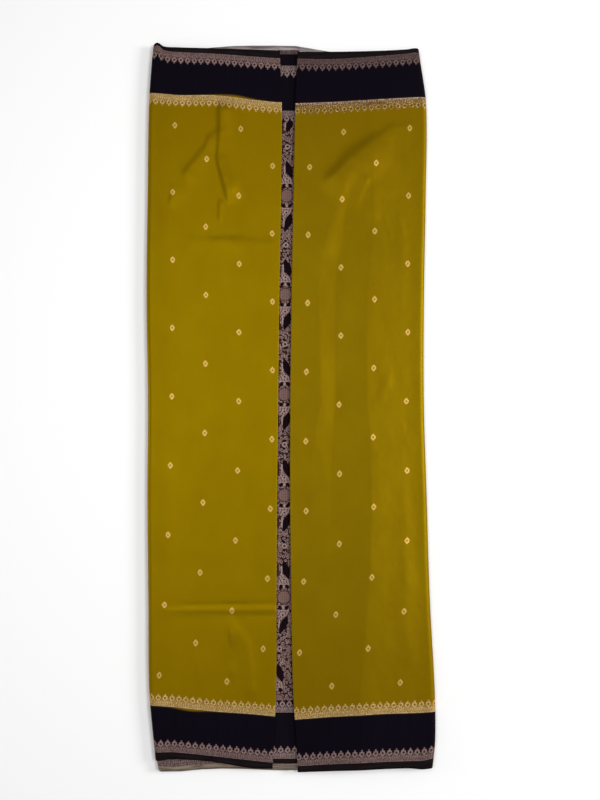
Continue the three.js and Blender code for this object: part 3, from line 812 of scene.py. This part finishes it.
def makeSilk(name, sheet):
    # olive crepe with scattered motifs, a navy border with a rose zari outside and a gold one inside
    r, s, width = Recipe(name), silk, bundle["clothWidth"]
    along, across = r.clothMap()
    inward = (across - sheet["selvedge"]).math("MINIMUM", width - sheet["selvedge"] - across)
    atTop = within(width / 2 - across, 10)
    onRight = within(s["rightFrom"] - along, s["rightBlur"])
    topRight = atTop * onRight

    mottle = r.noise(along, across, s["mottle"])
    streak = r.noise(along, across, s["streak"])
    crepe = r.noise(along, across, s["crepe"])
    streakGain, crepeGain, offset = s["weaveLevels"]
    weave = clamped(streak * streakGain + crepe * crepeGain + offset)
    field = r.mixed(levelled(mottle, s["mottleLevels"]), s["fieldDark"], s["fieldLight"])
    field = r.mixed(weave * s["weaveShare"], field, s["field"])
    field = r.mixed(within(inward - s["endsFrom"], s["endsBlur"]) * s["endsShare"], field, s["fieldEnds"])
    field = r.mixed(onRight * s["rightNavy"], field, s["navy"])

    # the navy's inner edge strays, and lets a little of the field show
    gap = s["navyStrayBy"] * r.noise(along, 0.0, s["navyStray"])
    for middle, reach, depth, side in s["navyGaps"]:
        aside = (along - middle) / reach
        bell = (-1 * aside * aside).math("EXPONENT") * depth
        gap = gap + bell * (atTop if side > 0 else 1 - atTop)
    isNavy = within(inward - s["innerZari"] - s["navyPast"] + gap, s["navyBlur"])
    navy = r.mixed(levelled(streak, s["navyLevels"]), s["navy"], s["navyLight"])
    colour = r.mixed(isNavy, field, navy)
    threads = r.noise(along, across, s["thread"])
    selvedge = r.mixed(levelled(threads, s["selvedgeLevels"]), s["selvedgeDark"], s["selvedge"])
    colour = r.mixed(within(inward, 0.5), colour, selvedge)

    dulled = 1 - s["topDulling"] * topRight
    rose, roseTone = zariBand(along, inward / sheet["zariStretch"], s["roseBright"])
    roseTone = roseTone * dulled
    colour = r.mixed(rose, colour, r.mixed(roseTone, s["roseDark"], s["rose"]))
    if sheet["paleWidth"]:
        pale = r.mixed(atTop, s["paleEdge"], s["paleTop"])
        isPale = within(inward - sheet["paleWidth"], 2) * levelled(threads, s["paleLevels"])
        colour = r.mixed(isPale, colour, pale)

    # the gold zari is worn in its closely woven part, and most of all at the top of the right flap
    inZari = inward - s["innerZari"]
    gold, goldTone = zariBand(along + s["goldShift"], inZari, s["goldBright"])
    worn = levelled(r.noise(along, inward, s["wear"]), s["wearLevels"])
    worn = worn * between(inZari, *s["wornBand"], 1)
    goldTone = (goldTone + (goldTone - s["topMiddle"]) * s["topContrast"] * topRight) * dulled
    goldTone = goldTone * (1 - (s["wornBy"] + s["wornTopBy"] * topRight) * worn)
    goldColour = r.mixed(goldTone, r.mixed(dulled, s["goldWorn"], s["goldDark"]), s["gold"])
    beadColour = r.mixed(goldTone, s["beadDark"], s["bead"])
    beadShare = between(inZari, *s["beadLine"], 0.5) * (s["beadShare"] + s["beadShareTop"] * topRight)
    colour = r.mixed(gold, colour, r.mixed(beadShare, goldColour, beadColour))

    # motifs stand in columns, every other column half a row higher
    column = wrapped(along, s["motifColumn"])
    odd = (along / s["motifColumn"] + 0.5).math("FLOOR").math("FLOORED_MODULO", 2.0)
    row = wrapped(across - s["firstRow"] - odd * (s["motifRow"] / 2), s["motifRow"])
    inField = within(s["fieldFrom"] - across, 1) * within(across - width + s["fieldFrom"], 1)
    pointed = abs(column) / s["motifWidth"] + abs(row) / s["motifHeight"]
    rounded = far(column / s["motifWidth"], row / s["motifHeight"])
    ragged = r.noise(along, across, s["ragged"])
    shape = (pointed + rounded) * s["motifFullness"] + s["raggedShare"] * (ragged - 0.5)
    motif = within(shape - 1, s["motifBlur"]) * inField
    lobes = within(far(abs(column) - s["lobeAside"], row + s["lobeBelow"]) - s["lobeRadius"])
    eye = either(within(shape - s["eyeSize"], s["eyeBlur"]), lobes * s["lobeShare"]) * motif
    colour = r.mixed(motif, colour, r.mixed(eye * s["eyeShare"], s["motif"], s["motifEye"]))

    metal = either(rose, gold, motif)
    metallic = s["metallic"] + metal * s["metallicMore"]
    roughness = s["roughness"] - metal * s["roughnessLess"]
    relief = either(rose * (0.5 + 0.5 * roseTone), gold * (0.5 + 0.5 * goldTone),
                    motif * (1 - 0.5 * eye))
    heights = [(r.noise(along, across, s["wrinkle"]), s["wrinkleHeight"]),
               (relief, s["threadHeight"]), (crepe, s["crepeHeight"])]
    return r.cloth(colour, roughness, metallic, heights, s["sheen"], s["gloss"])


brocade = {
    "ground": dye(22, 12, 19), "brown": dye(104, 76, 70), "rose": dye(158, 134, 130),
    "navy": dye(15, 11, 20), "selvedge": dye(26, 20, 22), "gloss": dye(190, 160, 150),
    "bottomZari": 7, "bottomInner": 78.6,        # outer edges of the bands, from the lower edge
    "topInner": 1045.7, "topZari": 1120.7,
    "zariWidth": 19, "zariShift": 2.0, "zariBright": 0.8,

    # the fine curls: noises as in the silk, sizes in cells
    "cell": 4.8, "stray": (4, 4, 2.2, 1.0), "strayBy": 0.9,
    "curlRadius": 0.33, "curlWall": 0.13, "curlEdge": 0.06,
    "curlTone": 0.30, "curlMore": 0.9, "curlLess": 0.6,    # between curls, on them, at the cells' edges
    "fleck": (1.3, 1.3, 8.1, 1.0), "fleckTone": 0.4, "fleckMore": 1.2,
    "shade": (7, 7, 5.5, 2.0), "shadeTone": 0.28, "shadeMore": 0.95,

    "flowerAt": 582.1, "flowerPeriod": 161.6,    # of the plain round flowers, from the lower edge
    "discWidth": 10.2, "discHeight": 9.6, "discRim": 0.14, "discStray": 0.22,
    "discTone": 0.52, "discFleckTone": 0.72, "discFleckMore": 0.5,
    # the tall flowers: places are the distance from a plain flower
    "domeAt": 21, "domeWidth": 9.5, "domeHeight": 14.5, "petalsAt": 27,
    "crownAt": 28, "crownRadius": 2.4, "crownWall": 0.7, "crownEye": 1.5,
    "barAt": 20.6, "barWidth": 9.5, "barHeight": 0.8,
    "cheekAside": 5.2, "cheekAt": 16.6, "cheekSlant": 0.6, "cheekWidth": 2.9, "cheekHeight": 4.4,
    "stemAt": 16.5, "stemWidth": 1.7, "stemHeight": 2.6,
    "leafAside": 3.0, "leafAt": 43, "leafTurn": 0.30, "leafLength": 15.5, "leafWidth": 5.6,
    "barkAcross": (-5.0, -3.0), "barkAlong": (34.5, 49),       # a bright line beside the leaf
    "shadeAcross": (-11.5, -8.2), "shadeAlong": (33, 53),      # and a dark one further out
    # the small flowers half way between the plain ones
    "roseRadius": 3.2, "roseWall": 0.9, "roseEye": 1.2,
    "dropAside": -0.6, "dropBelow": 6.6, "dropWidth": 2.4, "dropHeight": 1.7,

    "metallic": 0.15, "metallicMore": 0.3, "roughness": 0.60, "roughnessLess": 0.14,    # on bright thread
    "threadHeight": 0.14, "sheen": 0.05,
}


def makeBrocade(name):
    # tall flowers one above another, drawn by their distance up or down from the plain round ones, with
    # dark leaf-shaped spaces beside them, and fine curls everywhere between
    r, b = Recipe(name), brocade
    across, up = r.clothMap()
    q = abs(wrapped(up - b["flowerAt"], b["flowerPeriod"]))
    half = b["flowerPeriod"] / 2

    stray = r.noise(across, up, b["stray"]) * b["strayBy"]
    cellAcross, cellUp = across / b["cell"] + stray, up / b["cell"] - stray
    distance, edge = r.cells(cellAcross, cellUp, "F1"), r.cells(cellAcross, cellUp, "DISTANCE_TO_EDGE")
    fleck = r.noise(across, up, b["fleck"])
    shade = r.noise(across, up, b["shade"])
    curls = b["curlTone"] + b["curlMore"] * within(abs(distance - b["curlRadius"]) - b["curlWall"], 0.12)
    curls = curls - b["curlLess"] * within(edge - b["curlEdge"], 0.1)
    curls = curls * (b["fleckTone"] + b["fleckMore"] * fleck)
    tone = curls * (b["shadeTone"] + b["shadeMore"] * shade)

    dome = oval(across, q - b["domeAt"], b["domeWidth"], b["domeHeight"], 0.06) * within(b["domeAt"] - q)
    petals = 0.72 + 0.28 * stripes(far(across, q - b["petalsAt"]), 3.4, 0.9)
    petals = petals * (1 - 0.85 * stripes(across + q * 0.4, 4.6, 0.6))
    crown = far(across, q - b["crownAt"])
    bar = within(abs(q - b["barAt"]) - b["barHeight"]) * within(abs(across) - b["barWidth"])
    out, on = abs(across) - b["cheekAside"], q - b["cheekAt"]
    slant, rise = out + on * b["cheekSlant"], on - out * b["cheekSlant"]
    cheeks = oval(slant, rise, b["cheekWidth"], b["cheekHeight"], 0.2)
    stem = oval(across, q - b["stemAt"], b["stemWidth"], b["stemHeight"])
    disc = far(across / b["discWidth"], q / b["discHeight"]) + (stray - b["strayBy"] / 2) * b["discStray"]
    discTone = b["discTone"] + 0.12 * stripes(up, 2.4, 0.6) + 0.1 * stripes(across, 3.2, 0.7)
    discTone = discTone * (b["discFleckTone"] + b["discFleckMore"] * fleck)
    rose = far(across, half - q)
    drop = oval(across - b["dropAside"], half - q - b["dropBelow"], b["dropWidth"], b["dropHeight"])
    # a pointed leaf: its width falls off with the square of the way to its tip
    c, s = math.cos(b["leafTurn"]), math.sin(b["leafTurn"])
    out, on = across - b["leafAside"], q - b["leafAt"]
    toTip = (on * c - out * s) / b["leafLength"]
    leaf = within(abs(out * c + on * s) - b["leafWidth"] * (1 - toTip * toTip), 0.5)
    bark = between(across, *b["barkAcross"]) * between(q, *b["barkAlong"])
    dark = between(across, *b["shadeAcross"]) * between(q, *b["shadeAlong"], 4)

    # each shape covers those before it: where it shows, and how bright it is
    for mask, value in (
            (dome, petals), (ring(crown, b["crownRadius"], b["crownWall"]), 1.0),
            (within(crown - b["crownEye"]), 0.1), (bar, 1.0), (cheeks, 0.0), (stem, 1.0),
            (within(disc - 1 - b["discRim"], 0.1), 0.2), (within(disc - 1, 0.12), discTone),
            (ring(rose, b["roseRadius"], b["roseWall"]), 1.0), (within(rose - b["roseEye"]), 0.05),
            (drop, 0.0), (leaf, 0.0), (bark, 1.0), (dark, 0.12)):
        tone = tone * (1 - mask) + mask * value
    colour = r.mixed(clamped(tone * 2), b["ground"], b["brown"])
    colour = r.mixed(clamped(tone * 2 - 1), colour, b["rose"])

    inBrocade = between(up, b["bottomInner"] + b["zariWidth"], b["topInner"] - b["zariWidth"])
    colour = r.mixed(inBrocade, r.mixed(inBrocade, b["navy"], b["ground"]), colour)
    cover = inBrocade * clamped(tone)
    for edgeName, side in (("bottomZari", 1), ("bottomInner", 1), ("topInner", -1), ("topZari", -1)):
        band, bandTone = zariBand(across + b["zariShift"], (up - b[edgeName]) * side, b["zariBright"])
        colour = r.mixed(band, colour, r.mixed(bandTone, b["ground"], b["rose"]))
        cover = either(cover, band * bandTone)
    colour = r.mixed(within(up - b["bottomZari"], 0.5), colour, b["selvedge"])
    roughness = b["roughness"] - cover * b["roughnessLess"]
    metallic = b["metallic"] + cover * b["metallicMore"]
    return r.cloth(colour, roughness, metallic, [(cover, b["threadHeight"])], b["sheen"], b["gloss"])


def makeFloor():
    # a flat square of paper under the bundle; its size is in metres
    mesh = bpy.data.meshes.new("floor")
    reach = studio["floorReach"]
    corners = [(-reach, -reach, 0), (reach, -reach, 0), (reach, reach, 0), (-reach, reach, 0)]
    mesh.from_pydata(corners, [], [(0, 1, 2, 3)])
    floor = bpy.data.objects.new("floor", mesh)
    bpy.context.collection.objects.link(floor)
    r = Recipe("floorPaper")
    shader = r.node("ShaderNodeBsdfPrincipled", {}, {
        "Base Color": studio["floor"], "Roughness": 0.9, "Specular IOR Level": 0.1})
    r.node("ShaderNodeOutputMaterial", {}, {"Surface": shader})
    mesh.materials.append(r.material)


makeFloor()
outerCloth, outerLength = makeOuterCloth()
innerLayers, innerLength = makeInnerLayers()
palluCloth, palluWidth, palluLength = makePalluCloth()

outerCloth.data.materials.append(makeSilk("fieldSilk", outer))
innerLayers.data.materials.append(makeSilk("innerSilk", inner))
palluCloth.data.materials.append(makeBrocade("palluBrocade"))
print("materials made")

clothWidth = bundle["clothWidth"] * mm
for piece, nodes, slot, flat, restsOn in (
        (outerCloth, ("left_flap", "right_flap", "underside"), "field_silk", (outerLength, clothWidth),
         ["innerLayers"]),
        (innerLayers, ("hidden_layers",), "inner_layers", (innerLength, clothWidth), ["outerCloth"]),
        (palluCloth, ("pallu",), "pallu_brocade", (palluWidth, palluLength), ["innerLayers"])):
    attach(piece, "root")
    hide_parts(*nodes)
